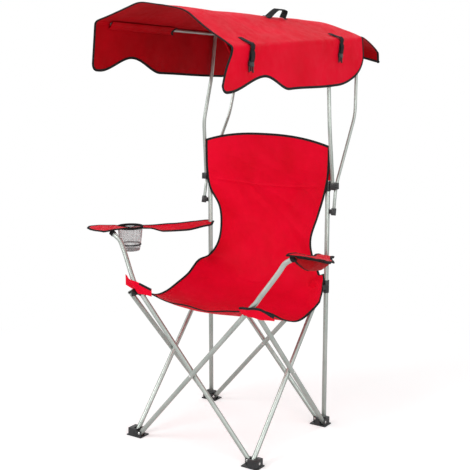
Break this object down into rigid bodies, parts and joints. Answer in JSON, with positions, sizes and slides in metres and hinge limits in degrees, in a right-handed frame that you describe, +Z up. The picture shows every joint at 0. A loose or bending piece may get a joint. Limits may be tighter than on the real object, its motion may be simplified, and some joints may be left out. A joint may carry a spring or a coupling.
{
  "type": "camping chair",
  "caption": "Folding camping chair with a hanging cloth seat and back, armrests, a net cup holder and a tilting sun canopy on two side frames.",
  "frame": {"origin": "centre of the bounding box's footprint, on the floor", "axes": "+Z up; the chair faces -Y; +X is the sitter's left"},
  "size_m": [0.9214, 1.027, 1.437],
  "materials": {
    "grey_paint": "satin powder coat",
    "black_plastic": "matte",
    "bright_steel": "plated",
    "red_cloth": "coated woven polyester",
    "black_web": "woven webbing",
    "grey_mesh": "open net"
  },
  "bodies": {
    "right_post": {"mesh_cup": "grey_mesh", "rear_right_foot": "black_plastic", "rear_right_foot_cross_rivet": "bright_steel", "rear_right_foot_side_rivet": "bright_steel", "right_armrest": "red_cloth", "right_hub": "black_plastic", "right_pivot_bolt": "bright_steel", "right_post": "grey_paint", "right_post_plug": "black_plastic", "seat_and_back_sling": "red_cloth"},
    "rear_tube_a": {"rear_crossing_rivet": "bright_steel", "rear_tube_a": "grey_paint"},
    "front_tube_a": {"front_crossing_rivet": "bright_steel", "front_tube_a": "grey_paint"},
    "rear_tube_b": {"rear_tube_b": "grey_paint"},
    "front_tube_b": {"front_tube_b": "grey_paint"},
    "left_side_tube_b": {"left_crossing_rivet": "bright_steel", "left_side_tube_b": "grey_paint"},
    "right_side_tube_b": {"right_crossing_rivet": "bright_steel", "right_side_tube_b": "grey_paint"},
    "right_side_tube_a": {"right_side_tube_a": "grey_paint"},
    "front_right_foot": {"front_right_foot": "black_plastic", "front_right_foot_cross_rivet": "bright_steel", "front_right_foot_side_rivet": "bright_steel"},
    "right_collar": {"right_collar": "black_plastic"},
    "right_corner_bracket": {"right_corner_bracket": "black_plastic"},
    "right_canopy_frame": {"canopy": "red_cloth", "carry_handle": "black_web", "left_front_strap": "black_web", "left_rear_strap": "black_web", "right_brace_clip": "black_plastic", "right_canopy_brace": "grey_paint", "right_canopy_rail": "grey_paint", "right_canopy_tube": "grey_paint", "right_front_strap": "black_web", "right_rear_strap": "black_web", "right_yoke": "black_plastic"},
    "left_side_tube_a": {"left_side_tube_a": "grey_paint"},
    "front_left_foot": {"front_left_foot": "black_plastic", "front_left_foot_cross_rivet": "bright_steel", "front_left_foot_side_rivet": "bright_steel"},
    "left_post": {"left_armrest": "red_cloth", "left_hub": "black_plastic", "left_pivot_bolt": "bright_steel", "left_post": "grey_paint", "left_post_plug": "black_plastic", "rear_left_foot": "black_plastic", "rear_left_foot_cross_rivet": "bright_steel", "rear_left_foot_side_rivet": "bright_steel", "side_pocket": "red_cloth"},
    "left_collar": {"left_collar": "black_plastic"},
    "left_corner_bracket": {"left_corner_bracket": "black_plastic"},
    "left_canopy_frame": {"left_brace_clip": "black_plastic", "left_canopy_brace": "grey_paint", "left_canopy_rail": "grey_paint", "left_canopy_tube": "grey_paint", "left_yoke": "black_plastic"}
  },
  "joints": [
    {"name": "fold", "type": "hinge", "parent": "right_post", "child": "rear_tube_a", "pos_m": [-0.214, 0.09821, 0.0145], "axis": [0, -1, 0], "range_deg": [0, 33.76], "deforming": ["seat_and_back_sling", "right_armrest", "left_armrest", "mesh_cup", "side_pocket", "canopy", "carry_handle", "right_front_strap", "right_rear_strap", "left_front_strap", "left_rear_strap"]},
    {"name": "rear_cross", "type": "hinge", "parent": "rear_tube_a", "child": "rear_tube_b", "pos_m": [0, 0.10641, 0.25575], "axis": [0, 1, 0], "range_deg": [0, 67.52]},
    {"name": "rear_left_foot_pin", "type": "hinge", "parent": "rear_tube_b", "child": "left_post", "pos_m": [0.214, 0.11461, 0.0145], "axis": [0, -1, 0], "range_deg": [0, 33.76]},
    {"name": "right_collar_pin", "type": "hinge", "parent": "rear_tube_b", "child": "right_collar", "pos_m": [-0.214, 0.11461, 0.497], "axis": [0, -1, 0], "range_deg": [0, 33.76]},
    {"name": "left_collar_pin", "type": "hinge", "parent": "rear_tube_a", "child": "left_collar", "pos_m": [0.214, 0.09821, 0.497], "axis": [0, 1, 0], "range_deg": [0, 33.76]},
    {"name": "right_side_b_pin", "type": "hinge", "parent": "right_post", "child": "right_side_tube_b", "pos_m": [-0.2512, 0.09441, 0.0145], "axis": [-1, 0, 0], "range_deg": [0, 33.76]},
    {"name": "right_cross", "type": "hinge", "parent": "right_side_tube_b", "child": "right_side_tube_a", "pos_m": [-0.243, -0.11958, 0.25575], "axis": [1, 0, 0], "range_deg": [0, 67.52]},
    {"name": "front_right_foot_pin", "type": "hinge", "parent": "right_side_tube_a", "child": "front_right_foot", "pos_m": [-0.2348, -0.33359, 0.0145], "axis": [-1, 0, 0], "range_deg": [0, 33.76]},
    {"name": "front_a_pin", "type": "hinge", "parent": "front_right_foot", "child": "front_tube_a", "pos_m": [-0.214, -0.34029, 0.0145], "axis": [0, -1, 0], "range_deg": [0, 33.76]},
    {"name": "front_cross", "type": "hinge", "parent": "front_tube_a", "child": "front_tube_b", "pos_m": [0, -0.33209, 0.25575], "axis": [0, 1, 0], "range_deg": [0, 67.52]},
    {"name": "front_left_foot_pin", "type": "hinge", "parent": "front_tube_b", "child": "front_left_foot", "pos_m": [0.214, -0.32388, 0.0145], "axis": [0, -1, 0], "range_deg": [0, 33.76]},
    {"name": "right_bracket_pin", "type": "hinge", "parent": "front_tube_b", "child": "right_corner_bracket", "pos_m": [-0.214, -0.32388, 0.497], "axis": [0, -1, 0], "range_deg": [0, 33.76]},
    {"name": "left_bracket_pin", "type": "hinge", "parent": "front_tube_a", "child": "left_corner_bracket", "pos_m": [0.214, -0.34029, 0.497], "axis": [0, 1, 0], "range_deg": [0, 33.76]},
    {"name": "left_side_b_pin", "type": "hinge", "parent": "left_post", "child": "left_side_tube_b", "pos_m": [0.2512, 0.09441, 0.0145], "axis": [-1, 0, 0], "range_deg": [0, 33.76]},
    {"name": "left_cross", "type": "hinge", "parent": "left_side_tube_b", "child": "left_side_tube_a", "pos_m": [0.243, -0.11958, 0.25575], "axis": [1, 0, 0], "range_deg": [0, 67.52]},
    {"name": "canopy_tilt", "type": "hinge", "parent": "right_post", "child": "right_canopy_frame", "pos_m": [0, 0.11442, 0.844], "axis": [-1, 0, 0], "range_deg": [-10, 80]},
    {"name": "left_canopy_tilt", "type": "hinge", "parent": "left_post", "child": "left_canopy_frame", "pos_m": [0, 0.11442, 0.844], "axis": [-1, 0, 0], "range_deg": [-10, 80]}
  ],
  "couplings": [
    {"joint": "rear_cross", "follows": "fold", "ratio": 2},
    {"joint": "rear_left_foot_pin", "follows": "fold", "ratio": 1},
    {"joint": "right_collar_pin", "follows": "fold", "ratio": 1},
    {"joint": "left_collar_pin", "follows": "fold", "ratio": 1},
    {"joint": "right_side_b_pin", "follows": "fold", "ratio": 1},
    {"joint": "right_cross", "follows": "fold", "ratio": 2},
    {"joint": "front_right_foot_pin", "follows": "fold", "ratio": 1},
    {"joint": "front_a_pin", "follows": "fold", "ratio": 1},
    {"joint": "front_cross", "follows": "fold", "ratio": 2},
    {"joint": "front_left_foot_pin", "follows": "fold", "ratio": 1},
    {"joint": "right_bracket_pin", "follows": "fold", "ratio": 1},
    {"joint": "left_bracket_pin", "follows": "fold", "ratio": 1},
    {"joint": "left_side_b_pin", "follows": "fold", "ratio": 1},
    {"joint": "left_cross", "follows": "fold", "ratio": 2},
    {"joint": "left_canopy_tilt", "follows": "canopy_tilt", "ratio": 1}
  ]
}
